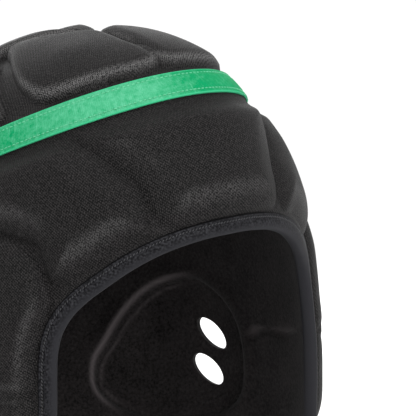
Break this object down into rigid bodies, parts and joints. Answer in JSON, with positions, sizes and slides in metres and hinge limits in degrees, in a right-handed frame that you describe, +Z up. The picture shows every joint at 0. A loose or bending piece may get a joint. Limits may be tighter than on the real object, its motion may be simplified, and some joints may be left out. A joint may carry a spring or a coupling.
{
  "type": "rugby scrum cap",
  "caption": "Soft padded rugby scrum cap: a hollow fabric shell with foam pads, a tape band, bound edge, slotted ear covers and a chin strap.",
  "frame": {"origin": "top of the hollow inside the cap, where the crown of the wearer's head sits, on the middle plane", "axes": "+Z up as worn, the wearer faces -Y, +X is the wearer's left"},
  "size_m": [0.1844, 0.2171, 0.2606],
  "materials": {
    "pad_fabric": "matte charcoal knit over foam",
    "lining_fabric": "brushed near-black lining over thin foam",
    "crown_tape": "green woven tape with a slight sheen",
    "edge_tape": "smooth dark grey binding tape",
    "webbing": "black woven webbing",
    "fastener": "plain black plastic"
  },
  "bodies": {
    "root": {"cap_shell": "lining_fabric", "edge_binding": "edge_tape", "crown_band": "crown_tape", "pad_forehead": "pad_fabric", "pad_rear": "pad_fabric", "pad_nape": "pad_fabric", "pad_crown_front_left": "pad_fabric", "pad_crown_front_right": "pad_fabric", "pad_crown_rear_left": "pad_fabric", "pad_crown_rear_right": "pad_fabric", "pad_crown_side_left": "pad_fabric", "pad_crown_side_right": "pad_fabric", "pad_crown_back_left": "pad_fabric", "pad_crown_back_right": "pad_fabric", "pad_temple_left": "pad_fabric", "pad_temple_right": "pad_fabric", "pad_cheek_front_left": "pad_fabric", "pad_cheek_front_right": "pad_fabric", "pad_cheek_low_left": "pad_fabric", "pad_cheek_low_right": "pad_fabric", "pad_side_left": "pad_fabric", "pad_side_right": "pad_fabric", "pad_rear_side_left": "pad_fabric", "pad_rear_side_right": "pad_fabric", "ear_cover_left": "lining_fabric", "ear_cover_right": "lining_fabric", "chin_strap": "webbing", "strap_fastener": "fastener"}
  },
  "joints": []
}
